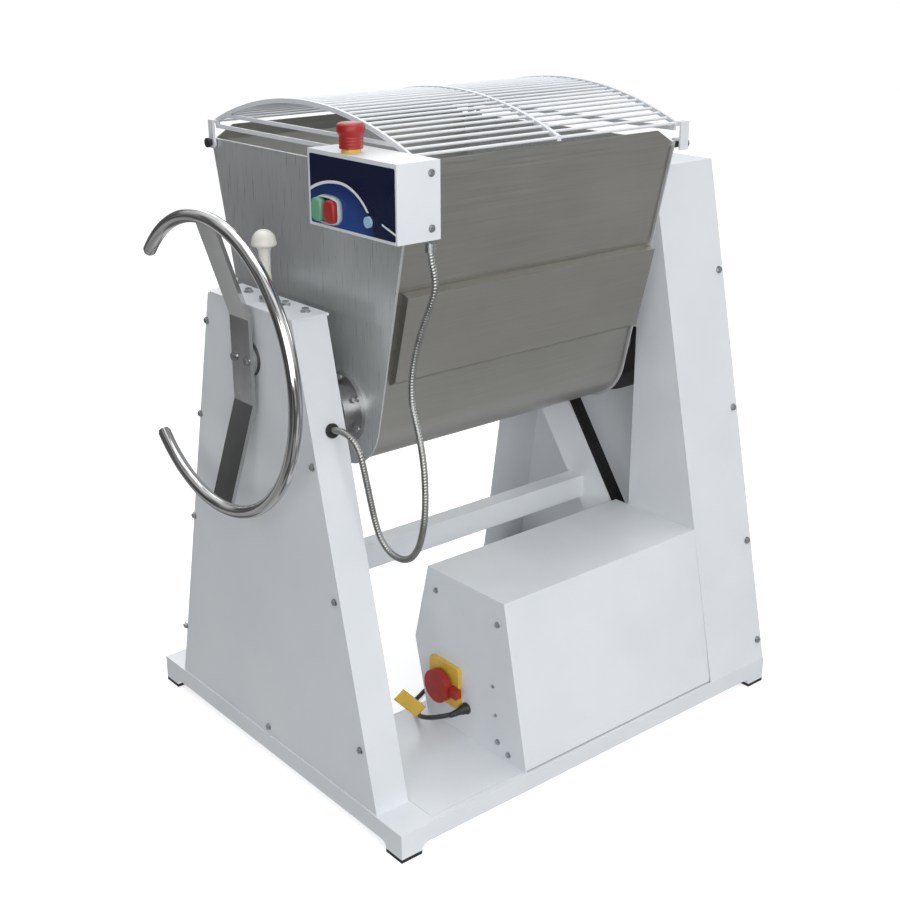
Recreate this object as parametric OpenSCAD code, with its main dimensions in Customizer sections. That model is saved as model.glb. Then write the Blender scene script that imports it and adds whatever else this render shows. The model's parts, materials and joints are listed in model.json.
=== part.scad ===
// Tilting twin-shaft dough mixer on a floor base.
// The tub hangs between two stands, tips forward about a handwheel shaft, and is
// closed by an arched wire lid.  Right hand stand: belt drive.  +Z up, front at -Y.

/* [Base] */
// Width of the base, left to right
base_w = 1000; // [980:10:1020]
// Depth of the base, front to back
base_d = 844; // [840:2:860]
// Height of the upper face of the base above the floor
base_top = 57; // [55:1:62]
// Height of the side skirt of the base
skirt_h = 37; // [34:1:40]
// Width of the left and right beams
beam_w = 78; // [76:1:84]

/* [Tub] */
// Height of the tilting axis above the floor
axis_z = 834; // [830:1:840]
// Length of the tub over its end plates
tub_len = 620; // [616:1:622]
// Outer radius of each half-round bottom
bowl_r = 101; // [100.5:0.5:103]
// Half the distance between the two mixing shafts
shaft_half = 99; // [98:0.5:100]
// Lean of the long walls from upright, in degrees
wall_flare = 13; // [11:0.5:14]
// Height of the rim above the tilting axis
rim_rise = 339; // [330:1:342]
// Thickness of the sheet
sheet_t = 3; // [2:0.5:3]

/* [Lid] */
// Height of the crest of the lid above the tilting axis
lid_crest = 434; // [425:1:445]
// Number of long rods
lid_rods = 31; // [25:2:33]

/* [Handwheel] */
// Radius of the ring at the middle of its tube
ring_r = 262; // [250:1:264]
// Radius of the ring's tube
ring_tube_r = 12; // [11:0.5:13]
// Half of the open gap of the ring, in degrees
ring_gap = 41.5; // [35:0.5:50]

/* [Stands] */
// Height of the left stand above the base
left_h = 875; // [872:1:880]
// Height of the right stand above the base
right_h = 1052; // [1048:1:1060]
// Lean of the left stand's front and back
left_lean = 0.2376; // [0.23:0.001:0.24]
// Lean of the right stand's front
right_lean = 0.219; // [0.215:0.001:0.22]

/* [Drive] */
// Tooth size of the gears inside the tub's gear case
gear_m = 4; // [4]
// Teeth of the middle gear
mid_teeth = 38; // [38]
// Teeth of each mixing gear
side_teeth = 30; // [30]
// Outer radius of the large belt pulley
pulley_r = 232; // [228:1:232]

/* [Hidden] */
$fn = 64;

// ---- frame of reference: origin on the floor, under the middle of the machine ----
base_shift = 44;
base_left = base_shift - base_w / 2;
base_right = base_shift + base_w / 2;
front_y = -base_d / 2;
mid_x0 = base_left + beam_w;
mid_w = base_w - 2 * beam_w;
rail_w = 13;
platform_back = -90;
leg_w = 46;
pad_h = 7;
leg_h = base_top - skirt_h - pad_h;
fit = 0.02;
run = 0.05;

// ---- tub ----
tub_x0 = base_left + 132;
tub_x1 = tub_x0 + tub_len;
gear_gap = gear_m * (mid_teeth + side_teeth) / 2;
shaft_drop = sqrt(gear_gap * gear_gap - shaft_half * shaft_half);
plate_grow = 5;
lip_h = 27;
pin_y = 297;
pin_z = rim_rise - 3;
pin_r = 6;
mix_shaft_r = 17.5;

// ---- left stand ----
left_x = base_left + 3.5;
left_t = 71.5;
left_foot = 345.2;
left_top = base_top + left_h;
tilt_r = 25;
index_r = 84;
plunger_x = base_left + 43;
park_gap = 0.6;

// ---- right stand and motor cover ----
right_x = base_left + 826;
right_top = base_top + right_h;
rear_foot = 366;
rear_lean = 0.155;
cover_x = base_left + 300;
cover_h = 328;
hole_z = 779;
drive_r = 20;
motor_y = -218;
motor_z = 207;
belt_r = 222;
belt_t = 11;
belt_w = 16;
small_r = 35;
belt_x = [base_left + 867.5, base_left + 889.5];

// ---- lid ----
arch_half = 300;
arch_end = 374;
arch_rise = lid_crest - arch_end;
arch_r = (arch_half * arch_half + arch_rise * arch_rise) / (2 * arch_rise);
arch_mid = lid_crest - arch_r;
lid_x0 = tub_x0 + 2;
lid_x1 = tub_x1 + 12;
rod_r = 2.8;
rod_half = 297;
chord_z = 362;

// ---- control box ----
box_x = base_left + 44;
box_w = 85.5;
box_y = -382;
box_l = 237;
box_z = 1091;
box_h = 124;
estop_x = base_left + 66;
estop_y = -237;
button_z = 1123;
start_y = -189;
stop_y = -224;

// ---- cord and conduit ----
gland_y = -245;
gland_z = 118;
cord_r = 4.75;
cord_route = [
  [-170, -245, 118], [-179, -245, 118], [-193, -242, 117], [-206, -233, 114], [-215, -220, 109],
  [-218, -204, 102], [-216, -187, 94], [-209, -168, 84], [-200, -149, 75], [-190, -130, 68],
  [-181, -111, 63], [-172, -92, 62], [-162, -73, 57], [-151, -55, 46], [-139, -38, 31], [-125, -24, 16],
  [-108, -12, 7], [-88, -2, 5], [-64, 9, 5], [-38, 19, 5], [-10, 28, 5], [20, 36, 5], [52, 42, 5],
  [84, 46, 5], [116, 47, 5], [142, 47, 5]
];
coil_at = [150, 104];
coil_in = 43;
coil_out = 62;
coil_h = 28.6;
plug_at = [184, 46];
plug_r = 19;
conduit_r = 6.2;
conduit_route = [
  [-337, -369, 1074], [-336, -370, 1054], [-333, -373, 1032], [-332, -373, 1010], [-334, -366, 984],
  [-337, -355, 957], [-340, -342, 922], [-343, -332, 885], [-346, -328, 848], [-349, -332, 812],
  [-351, -343, 785], [-353, -358, 750], [-356, -371, 705], [-359, -377, 660], [-361, -377, 622],
  [-363, -372, 590], [-365, -362, 561], [-368, -344, 539], [-371, -319, 531], [-375, -295, 538],
  [-379, -277, 557], [-383, -268, 585], [-388, -264, 618], [-393, -261, 652], [-398, -259, 683],
  [-401, -255, 707], [-403, -245, 726], [-406, -230, 738], [-408, -213, 742], [-410, -197, 741],
  [-410, -178, 736]
];

// ---- helpers ----
// Extrudes a drawing of the Y-Z plane along +X, from x on.
module slab(x, t) translate([x, 0, 0]) rotate([90, 0, 90]) linear_extrude(t) children();

module rod_x(x, len, r, y = 0, z = 0) translate([x, y, z]) rotate([0, 90, 0]) cylinder(h = len, r = r);

module on_axis() translate([0, 0, axis_z]) children();

function left_y(z) = left_foot - left_lean * (z - base_top);
function right_y(z) = front_y + right_lean * (z - base_top);
function rear_y(z) = rear_foot - rear_lean * (z - base_top);

// Insets a convex outline, listed counter-clockwise, by t.
function unit2(v) = v / norm(v);
function inward(a, b) = let (d = unit2(b - a)) [-d[1], d[0]];
function inset(p, t) = [
  for (i = [0 : len(p) - 1])
    let (n1 = inward(p[(i + len(p) - 1) % len(p)], p[i]), n2 = inward(p[i], p[(i + 1) % len(p)]))
    p[i] + (n1 + n2) * t / (1 + n1 * n2)
];

// Involute gear outline with a tooth on the +Y direction turned by phase degrees.
function inv(a) = tan(a) * 180 / PI - a;
function flank(rb, r, half, side) =
  let (a = acos(min(1, rb / r)), w = half - inv(a)) [r, side * w];
function polar(p) = p[0] * [cos(p[1]), sin(p[1])];
function gear_points(z, m, phase, slack = 0.35) =
  let (rp = m * z / 2, rb = rp * cos(20), rf = rp - 1.2 * m, ra = rp + 0.95 * m,
    half = 90 / z - slack / rp * 90 / PI + inv(20),
    rs = [max(rb, rf), rb + (ra - rb) * 0.3, rb + (ra - rb) * 0.6, ra])
  [for (i = [0 : z - 1]) let (c = phase + i * 360 / z)
    each [
      polar([rf, c - half]),
      for (r = rs) polar(flank(rb, r, half, -1) + [0, c]),
      for (k = [3 : -1 : 0]) polar(flank(rb, rs[k], half, 1) + [0, c]),
      polar([rf, c + half])
    ]];
// Phase of a gear at direction dir that meshes with a middle gear of phase 0.
function mesh_phase(dir) = dir + 180 - (0.5 - dir * mid_teeth / 360) * 360 / side_teeth;

// Tube swept along a route: one ring of corners for each point of the route.
function along(p, i) =
  unit2(p[min(i + 1, len(p) - 1)] - p[max(i - 1, 0)]);
function turn_to(u0, d) = unit2(u0 - (u0 * d) * d);
function sides(p, i, u) = i >= len(p) ? [] : let (w = turn_to(u, along(p, i))) [w, each sides(p, i + 1, w)];
module tube(p, r, n) {
  u = sides(p, 0, abs(along(p, 0)[2]) < 0.9 ? [0, 0, 1] : [0, 1, 0]);
  rings = [for (i = [0 : len(p) - 1]) let (d = along(p, i), v = cross(d, u[i]))
    for (k = [0 : n - 1]) p[i] + r * (cos(k * 360 / n) * u[i] + sin(k * 360 / n) * v)];
  last = (len(p) - 1) * n;
  polyhedron(rings, [
    [for (k = [0 : n - 1]) k],
    for (i = [0 : len(p) - 2]) for (k = [0 : n - 1])
      [i * n + k, (i + 1) * n + k, (i + 1) * n + (k + 1) % n, i * n + (k + 1) % n],
    [for (k = [n - 1 : -1 : 0]) last + k]
  ]);
}

// Smooth curve through the points of a route, n steps from point to point.
function at(p, i) = p[max(0, min(len(p) - 1, i))];
function smooth(p, n) = [
  for (i = [0 : len(p) - 2]) for (k = [0 : n - 1])
    let (t = k / n, a = at(p, i - 1), b = at(p, i), c = at(p, i + 1), d = at(p, i + 2))
    0.5 * (2 * b + (c - a) * t + (2 * a - 5 * b + 4 * c - d) * t * t + (3 * b - a - 3 * c + d) * t * t * t),
  p[len(p) - 1]
];

// Domed bolt head with its axis along +X, standing on x = 0 and pointing to -X.
module bolt_head(r, h) rotate([0, -90, 0]) union() {
  cylinder(h = h * 0.3, r = r * 1.25);
  cylinder(h = h, r = r, $fn = 6);
}

// ---- base ----
// Upside-down tray of sheet: outer size, open underneath.
module tray(x, y, w, d, h) translate([x, y, base_top - h]) difference() {
  cube([w, d, h]);
  translate([sheet_t, sheet_t, -1]) cube([w - 2 * sheet_t, d - 2 * sheet_t, h + 1 - sheet_t]);
}

module base_frame() color("gainsboro") union() {
  tray(base_left, front_y, beam_w, base_d, skirt_h);
  tray(base_right - beam_w, front_y, beam_w, base_d, skirt_h);
  // front rail with the step that the middle plate lies in, and the back edge of the platform
  translate([mid_x0 - 1, front_y, base_top - skirt_h]) cube([mid_w + 2, sheet_t, skirt_h]);
  translate([mid_x0 - 1, front_y, base_top - 2 * sheet_t]) difference() {
    cube([mid_w + 2, 34, 2 * sheet_t]);
    translate([-1, rail_w, sheet_t]) cube([mid_w + 4, 40, 5]);
  }
  translate([mid_x0 - 1, platform_back - sheet_t, base_top - skirt_h]) cube([mid_w + 2, sheet_t, skirt_h]);
  for (sx = [-1, 1]) for (sy = [-1, 1])
    translate([base_shift + sx * (base_w - leg_w) / 2, sy * (base_d - leg_w) / 2, 0]) {
      translate([-leg_w / 2, -leg_w / 2, pad_h]) cube([leg_w, leg_w, leg_h + 1]);
      translate([-sx * leg_w / 2, sy * (leg_w / 2 - 1.5), pad_h + leg_h]) rotate([90, 0, 0]) gusset(-sx);
      translate([sx * (leg_w / 2 - 1.5), -sy * leg_w / 2, pad_h + leg_h]) rotate([90, 0, 90]) gusset(-sy);
    }
}

// Curved piece that runs the leg into the skirt.
module gusset(side) translate([0, 0, -1.5]) linear_extrude(sheet_t) difference() {
  translate([side > 0 ? -0.5 : -leg_h, -leg_h]) square([leg_h + 0.5, leg_h + 1]);
  translate([side * leg_h, -leg_h]) circle(r = leg_h);
}

module base_plate() color("gainsboro")
  translate([mid_x0 + 0.5, front_y + rail_w + 0.5, base_top - sheet_t])
  cube([mid_w - 1, platform_back - sheet_t - front_y - rail_w - 1, sheet_t]);

module rubber_pads() color([0.1, 0.1, 0.1]) for (sx = [-1, 1]) for (sy = [-1, 1])
  translate([base_shift + sx * (base_w - leg_w) / 2, sy * (base_d - leg_w) / 2, pad_h / 2])
    cube([leg_w, leg_w, pad_h], center = true);

// ---- left stand ----
module left_outline(grow = 0, top = left_top - 4) {
  f = grow * sqrt(1 + left_lean * left_lean);
  polygon([
    [-left_y(base_top) - f, base_top], [left_y(base_top) + f, base_top],
    [left_y(top) + f, top], [-left_y(top) - f, top]
  ]);
}

module grommet_place() translate([base_left + 46, -left_y(737), 737]) rotate([90 - atan(left_lean), 0, 0])
  children();

module stand_left_shell() color("whitesmoke") difference() {
  slab(left_x, left_t - sheet_t) left_outline();
  slab(left_x + sheet_t, left_t) left_outline(-sheet_t, left_top);
  on_axis() rod_x(left_x - 1, 6, 32.3);
  grommet_place() cylinder(h = 20, r = 9.2, center = true);
}

module stand_left_inner() color("whitesmoke") difference() {
  slab(left_x + left_t - sheet_t, sheet_t) left_outline();
  on_axis() rod_x(left_x + left_t - 5, 10, 40.3);
}

module stand_left_top() color("whitesmoke") difference() {
  translate([left_x - 1.5, 0, left_top - 4]) union() {
    translate([0, -left_y(left_top) - 3, 0]) cube([left_t + 5, 2 * left_y(left_top) - 9, 4]);
    translate([12, 0, 0]) cube([left_t - 7, left_y(left_top) + 3, 4]);
    translate([12, left_y(left_top) - 12, 0]) cylinder(h = 4, r = 12);
  }
  translate([plunger_x, 0, left_top - 10]) cylinder(h = 20, r = 9);
}

// Hexagon bolts on the top plate and domed bolts on the sheet faces.
left_bolts = [
  [-184, 680], [-237, 442], [-301, 172], [147, 873], [195, 679], [250, 448], [322, 172], [9, 74]
];
cover_bolts = [[-152, 339], [-333, 336], [-337, 86], [-368, 72]];
cover_screws = [[-322, 201], [-330, 141]];

module frame_bolts() color("silver") {
  for (y = [-108, -46, 76]) translate([base_left + 52, y, left_top]) rotate([0, 90, 0]) bolt_head(7, 7);
  for (p = left_bolts) translate([left_x, p[0], p[1]]) bolt_head(5.5, 5);
  for (p = cover_bolts) translate([cover_x, p[0], p[1]]) bolt_head(5, 4);
  for (p = cover_screws) translate([cover_x, p[0], p[1]]) bolt_head(3, 2.5);
  for (z = [102, 321, 606, 889]) translate([base_left + 984, right_y(z), z])
    rotate([0, 0, 90]) rotate([0, atan(right_lean), 0]) bolt_head(6, 5);
}

module bearing_left() color("dimgray") on_axis() difference() {
  union() {
    rod_x(left_x - 5, 30, 32);
    rod_x(left_x + left_t - 18, 30, 40);
    rod_x(left_x + left_t, 9, 56);
  }
  rod_x(left_x - 10, left_t + 40, tilt_r + run);
}

module plunger_guide() color("silver") translate([plunger_x, 0, 0]) difference() {
  union() {
    translate([0, 0, left_top - 12]) cylinder(h = 20, r = 8.8);
    translate([0, 0, left_top]) cylinder(h = 8, r = 15, $fn = 6);
  }
  translate([0, 0, left_top - 20]) cylinder(h = 80, r = 6 + run);
}

module plunger_pin() color("silver") translate([plunger_x, 0, axis_z + index_r + park_gap])
  cylinder(h = 128, r = 6);

module plunger_knob() color("ivory") translate([plunger_x, 0, left_top + 25]) difference() {
  union() {
    cylinder(h = 74, r = 12);
    translate([0, 0, 80]) intersection() {
      sphere(r = 22.5);
      translate([0, 0, -7]) cylinder(h = 40, r = 30);
    }
  }
  translate([0, 0, -1]) cylinder(h = 94, r = 6 + fit);
}

module conduit_grommet() color([0.12, 0.12, 0.12]) grommet_place() difference() {
  translate([0, 0, -6]) union() {
    cylinder(h = 9, r = 9);
    translate([0, 0, 6]) cylinder(h = 4, r = 13);
  }
  translate([0, 0, -7]) cylinder(h = 20, r = conduit_r + fit);
}

// ---- cross bar and right stand ----
module cross_bar() color("whitesmoke") difference() {
  translate([left_x + left_t, -22, 357]) cube([right_x - left_x - left_t + 3, 40, 50]);
  translate([left_x + left_t - 1, -19, 360]) cube([right_x - left_x - left_t + 10, 34, 44]);
}

module stand_right_side() color("whitesmoke") slab(base_right - 6, sheet_t) polygon([
  [right_y(base_top), base_top], [rear_y(base_top), base_top],
  [rear_y(right_top), right_top], [right_y(right_top), right_top]
]);

// Sloping strip of sheet between two heights, lying inside the front or the rear plane.
module lean_strip(z0, z1, t, rear = false) {
  w = rear ? -t : t;
  polygon(rear
    ? [[rear_y(z0), z0], [rear_y(z1), z1], [rear_y(z1) + w, z1], [rear_y(z0) + w, z0]]
    : [[right_y(z0), z0], [right_y(z0) + w, z0], [right_y(z1) + w, z1], [right_y(z1), z1]]);
}

module stand_right_front() color("whitesmoke") union() {
  slab(right_x, base_right - 6 - right_x) lean_strip(base_top, right_top, sheet_t);
  translate([right_x, right_y(right_top), right_top - sheet_t])
    cube([base_right - 6 - right_x, rear_y(right_top) - right_y(right_top), sheet_t]);
}

cover_outline = [
  [front_y + 4, base_top], [-122, base_top], [-84, base_top + 155], [-127, base_top + cover_h - 2],
  [front_y + 72, base_top + cover_h]
];

module stand_right_inner() color("whitesmoke") difference() {
  slab(right_x, sheet_t) union() {
    polygon(inset(cover_outline, 3.1));
    polygon([
      [right_y(300) + 3.2, 300], [-164, 300], [-164, hole_z], [right_y(hole_z) + 3.2, hole_z]
    ]);
  }
  rod_x(right_x - 1, 8, 20, motor_y, motor_z);
}

module bearing_plate() color("whitesmoke") difference() {
  slab(right_x, sheet_t) polygon([
    [right_y(hole_z) + 3.2, hole_z + 0.1], [rear_y(hole_z) - 3.2, hole_z + 0.1],
    [rear_y(right_top - 3) - 3.2, right_top - 3], [right_y(right_top - 3) + 3.2, right_top - 3]
  ]);
  on_axis() rod_x(right_x - 1, 8, 40);
}

// Diagonal brace behind the opening, between the motor cover and the bearing plate.
module drive_brace() color("lightgray") slab(right_x + sheet_t, 6) polygon([
  [-182, 262], [-74, 262], [258, 727], [248, 790], [193, 790]
]);

module stand_right_rear() color("whitesmoke") union() {
  slab(base_left + 870, base_right - 6 - base_left - 870) lean_strip(base_top, hole_z, sheet_t, true);
  slab(right_x, base_right - 6 - right_x) lean_strip(hole_z, right_top - sheet_t, sheet_t, true);
}

module bearing_right() color("dimgray") on_axis() {
  difference() {
    union() {
      rod_x(right_x + sheet_t, 8, 60);
      rod_x(right_x - 6, 38, 39.6);
    }
    rod_x(right_x - 10, 50, 32 + run);
  }
  difference() {
    union() {
      rod_x(base_right - 14, 8, 50);
      rod_x(base_right - 34, 28, 36);
    }
    rod_x(base_right - 40, 28, drive_r + run);
  }
}

// ---- motor cover, motor and belt drive ----
module motor_cover() color("whitesmoke") slab(cover_x + sheet_t, right_x - cover_x - sheet_t) difference() {
  polygon(cover_outline);
  polygon(inset(cover_outline, sheet_t));
  translate([-500, base_top - 1]) square([800, 4.2]);
}

module motor_cover_end() color("whitesmoke") difference() {
  slab(cover_x, sheet_t) polygon(cover_outline);
  rod_x(cover_x - 1, 8, 8.3, gland_y, gland_z);
}

module gearmotor() color("slategray") difference() {
  union() {
    rod_x(base_left + 400, 230, 74, motor_y, motor_z);
    rod_x(base_left + 380, 20, 62, motor_y, motor_z);
    rod_x(base_left + 630, 16, 84, motor_y, motor_z);
    translate([base_left + 646, motor_y - 80, motor_z - 80]) cube([110, 160, 160]);
    translate([base_left + 640, motor_y - 88, base_top]) cube([120, 176, 14]);
    for (y = [-70, 50]) translate([base_left + 655, motor_y + y, base_top + 10]) cube([90, 20, 80]);
  }
  rod_x(base_left + 700, 80, 14 + run, motor_y, motor_z);
}

module belt_grooves(r) for (x = belt_x) difference() {
  rod_x(x - 0.5, belt_w + 1, r + 40);
  rod_x(x - 1, belt_w + 2, r - 0.4);
}

module motor_pulley() color([0.2, 0.2, 0.2]) translate([0, motor_y, motor_z]) union() {
  rod_x(base_left + 702, 212, 14);
  difference() {
    rod_x(base_left + 865, 44, small_r + 10);
    belt_grooves(small_r);
  }
}

module belt_loop(ra, rb) {
  d = [motor_y, motor_z - axis_z];
  dir = atan2(d[1], d[0]);
  w = acos((ra - rb) / norm(d));
  circle(r = ra, $fn = 180);
  translate(d) circle(r = rb, $fn = 90);
  polygon([
    polar([ra, dir - w]), d + polar([rb, dir - w]), d + polar([rb, dir + w]), polar([ra, dir + w])
  ]);
}

module drive_belts() color([0.08, 0.08, 0.08]) on_axis() for (x = belt_x) slab(x, belt_w) difference() {
  belt_loop(belt_r + belt_t, small_r + belt_t);
  belt_loop(belt_r, small_r);
}

module drive_pulley() color([0.2, 0.2, 0.2]) on_axis() difference() {
  union() {
    difference() {
      rod_x(base_left + 865, 44, pulley_r);
      rod_x(base_left + 864, 46, pulley_r - 28);
    }
    rod_x(base_left + 881, 12, pulley_r - 27);
    rod_x(base_left + 865, 44, 42);
  }
  belt_grooves(belt_r);
  for (a = [0 : 60 : 300]) rod_x(base_left + 880, 14, 38, 123 * cos(a), 123 * sin(a));
  rod_x(base_left + 860, 60, drive_r + fit);
}

module drive_shaft() color("silver") on_axis() union() {
  rod_x(tub_x1 + 4, base_right - 14 - tub_x1 - 4, drive_r);
  slab(tub_x1 + 10, 24) polygon(gear_points(mid_teeth, gear_m, 0));
}

// ---- isolator, mains cord ----
knob_y = -186;
knob_z = 152;

module isolator_plate() color("gold") difference() {
  slab(cover_x - 10, 10) translate([knob_y, knob_z + 2]) rounded(88, 88, 8);
  rod_x(cover_x - 11, 12, 12.1, knob_y, knob_z);
}

module rounded(w, h, r) {
  square([w - 2 * r, h], center = true);
  square([w, h - 2 * r], center = true);
  for (sx = [-1, 1]) for (sy = [-1, 1]) translate([sx * (w / 2 - r), sy * (h / 2 - r)]) circle(r = r);
}

module isolator_knob() color("firebrick") translate([0, knob_y, knob_z]) union() {
  rod_x(cover_x - 14, 13, 12);
  rod_x(cover_x - 18, 7, 26);
  rod_x(cover_x - 32, 15, 34);
  translate([cover_x - 26, -56, -9]) cube([14, 36, 18]);
}

module cord_gland() color([0.12, 0.12, 0.12]) difference() {
  union() {
    rod_x(cover_x - 4, 4, 12, gland_y, gland_z);
    rod_x(cover_x - 16, 13, 9.5, gland_y, gland_z);
    rod_x(cover_x - 2, 12, 8, gland_y, gland_z);
  }
  rod_x(cover_x - 20, 6, 5, gland_y, gland_z);
}

module mains_cord() color([0.1, 0.1, 0.1]) tube(smooth(cord_route, 3), cord_r, 8);

module mains_coil() color([0.1, 0.1, 0.1]) translate([coil_at[0], coil_at[1], 0]) difference() {
  cylinder(h = coil_h, r = coil_out);
  translate([0, 0, -1]) cylinder(h = coil_h + 2, r = coil_in);
}

module mains_plug() color([0.15, 0.15, 0.15]) translate([plug_at[0], plug_at[1], plug_r]) union() {
  rod_x(0, 26, 9);
  rod_x(24, 38, plug_r);
  for (s = [-1, 1]) rod_x(60, 21, 2.4, s * 9.5);
}

module cord_tag() color("gold") translate([-211, -170, 96]) rotate([0, 47, -18])
  translate([-68, -0.5, -14]) cube([68, 1, 28]);

// ---- handwheel and tilting shaft ----
wheel_x = -base_right + ring_tube_r;
spoke_half_w = 31;
hub_x = left_x - 20;

module wheel_ring() color("silver") on_axis() translate([wheel_x, 0, 0]) union() {
  rotate([90, 0, 90]) rotate([0, 0, ring_gap]) rotate_extrude(angle = 360 - 2 * ring_gap, $fn = 120)
    translate([ring_r, 0]) circle(r = ring_tube_r, $fn = 32);
  for (s = [-1, 1]) translate([0, ring_r * cos(ring_gap), s * ring_r * sin(ring_gap)])
    rotate([s * ring_gap, 0, 0]) translate([0, 0, -4.5]) cylinder(h = 9, r = ring_tube_r - 2);
}

function spoke_edge(s) = [
  [hub_x, s * 78], [wheel_x + 3, s * (ring_r - 10)], [wheel_x + 10, s * (ring_r - 8)], [hub_x + 7, s * 81]
];

module wheel_spoke() color("silver") on_axis() difference() {
  translate([0, spoke_half_w, 0]) rotate([90, 0, 0]) linear_extrude(2 * spoke_half_w)
    polygon(concat(spoke_edge(1), [for (i = [3 : -1 : 0]) spoke_edge(-1)[i]]));
  translate([wheel_x, 0, 0]) rotate([90, 0, 90]) rotate([0, 0, ring_gap])
    rotate_extrude(angle = 360 - 2 * ring_gap, $fn = 120)
    translate([ring_r, 0]) circle(r = ring_tube_r + 0.02, $fn = 32);
}

module tilt_shaft() color("silver") on_axis() union() {
  rod_x(hub_x + 7, 7.5, 31);
  rod_x(hub_x + 10, tub_x0 - hub_x - 10 - 5, tilt_r);
  rod_x(tub_x0 - 10, 10, 44);
}

module index_disc() color("silver") on_axis() difference() {
  rod_x(plunger_x - 6, 12, index_r);
  rod_x(plunger_x - 10, 20, tilt_r + fit);
  for (a = [0, 42.5, 85]) rotate([-a, 0, 0])
    translate([plunger_x, 0, index_r - 20]) cylinder(h = 30, r = 6.4);
}

// ---- tub ----
tub_cos = cos(wall_flare);
tub_sin = sin(wall_flare);
function wall_y(r, z) = shaft_half + r * tub_cos + (z + shaft_drop + r * tub_sin) * tan(wall_flare);

module tub_outline(r, top) {
  foot = [shaft_half + r * tub_cos, -shaft_drop - r * tub_sin];
  for (s = [-1, 1]) translate([s * shaft_half, -shaft_drop]) circle(r = r, $fn = 120);
  polygon([
    [-wall_y(r, top), top], [-foot[0], foot[1]], [-shaft_half, -shaft_drop], [shaft_half, -shaft_drop],
    foot, [wall_y(r, top), top]
  ]);
}

module shaft_holes(r) for (s = [-1, 1]) rod_x(tub_x0 - 5, tub_len + 10, r, s * shaft_half, -shaft_drop);

module tub_shell() color("darkgray") on_axis() union() {
  slab(tub_x0 + sheet_t, tub_len - 2 * sheet_t) difference() {
    tub_outline(bowl_r, rim_rise);
    tub_outline(bowl_r - sheet_t, rim_rise + 1);
  }
  for (s = [-1, 1])
    translate([0, s * (wall_y(bowl_r, rim_rise) - sheet_t / 2) + sheet_t / 2, 0]) rotate([90, 0, 0])
      linear_extrude(sheet_t) polygon([
        [tub_x0 + sheet_t, rim_rise - 4], [tub_x1 - sheet_t, rim_rise - 4],
        [tub_x1 - sheet_t, rim_rise + 4],
        [tub_x1 - 42, rim_rise + lip_h], [tub_x0 + 42, rim_rise + lip_h], [tub_x0 + sheet_t, rim_rise + 4]
      ]);
}

module end_plate(x) difference() {
  slab(x, sheet_t) tub_outline(bowl_r + plate_grow, rim_rise + 4);
  shaft_holes(mix_shaft_r + 1);
  for (s = [-1, 1]) rod_x(x - 1, 5, pin_r - 2 + fit, s * pin_y, pin_z);
}

module tub_end_left() color("darkgray") on_axis() union() {
  end_plate(tub_x0);
  // upper sheet that stands proud of the end plate, down to the seam
  slab(tub_x0 - 2.5, 3) difference() {
    tub_outline(bowl_r + plate_grow, rim_rise + 4);
    translate([-500, -500]) square([1000, 582]);
    for (s = [-1, 1]) translate([s * pin_y, pin_z]) circle(r = pin_r - 2 + fit);
  }
}

module tub_end_right() color("darkgray") on_axis() difference() {
  end_plate(tub_x1 - sheet_t);
  rod_x(tub_x1 - 10, 20, drive_r + 4);
}

// Bent cover sheet on a long wall: a ledge, a face that stands off the wall, and a lower return.
module jacket_outline(off) {
  z0 = -29;
  z1 = 143;
  polygon([
    [-wall_y(bowl_r, z0) - fit, z0], [-wall_y(bowl_r, z0) - off, z0 + 10],
    [-wall_y(bowl_r, z1) - off, z1 - 6], [-wall_y(bowl_r, z1) - fit, z1]
  ]);
}

// Channel of sheet with a closed left end.
module jacket() difference() {
  slab(tub_x0 + 16, tub_len - 16 - sheet_t) jacket_outline(16);
  slab(tub_x0 + 16 + sheet_t, tub_len) polygon([
    [-wall_y(bowl_r, -26.5) + 1, -27], [-wall_y(bowl_r, -26.5) - 1, -26], [-wall_y(bowl_r, -18) - 13.4, -18],
    [-wall_y(bowl_r, 134) - 13.4, 134.5], [-wall_y(bowl_r, 140) - 1, 140], [-wall_y(bowl_r, 140) + 1, 140.5]
  ]);
}

module jacket_front() color("darkgray") on_axis() jacket();

module jacket_rear() color("darkgray") on_axis() mirror([0, 1, 0]) jacket();

// Closed round covers over the left ends of the two mixing shafts.
module shaft_covers() color("silver") on_axis() for (s = [-1, 1])
  translate([0, s * shaft_half, -shaft_drop]) difference() {
    union() {
      rod_x(tub_x0 - 8, 8, 66);
      rod_x(tub_x0 - 32, 26, 48);
    }
    rod_x(tub_x0 - 14, 16, mix_shaft_r + run);
  }

module tub_bolts() color("silver") on_axis() {
  for (s = [-1, 1]) for (a = [30 : 60 : 330])
    translate([tub_x0 - 8, s * shaft_half + 57.5 * cos(a), -shaft_drop + 57.5 * sin(a)]) bolt_head(5.5, 6);
  for (a = [0 : 90 : 270]) translate([tub_x0 - 10, 34 * cos(a), 34 * sin(a)]) bolt_head(4.5, 4);
  for (s = [-1, 1]) translate([hub_x, s * 21, 3]) bolt_head(7, 6);
  for (z = [19, box_h - 19]) translate([box_x + box_w - 18, box_y, box_z + z - axis_z])
    rotate([0, 0, 90]) bolt_head(5, 3.5);
}

module gear_case_outline(grow) {
  for (s = [-1, 1]) translate([s * shaft_half, -shaft_drop]) circle(r = 66 + grow);
  circle(r = 82 + grow);
}

module gear_case() color([0.15, 0.16, 0.17]) on_axis() difference() {
  union() {
    slab(tub_x1, 46) gear_case_outline(3);
    rod_x(tub_x1 + 45, base_left + 852 - tub_x1 - 45, 32);
  }
  slab(tub_x1 - 1, 44) gear_case_outline(0);
  rod_x(tub_x1, 200, drive_r + run);
}

// ---- mixing shafts ----
paddles = 6;
paddle_reach = bowl_r - sheet_t - 5;

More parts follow.
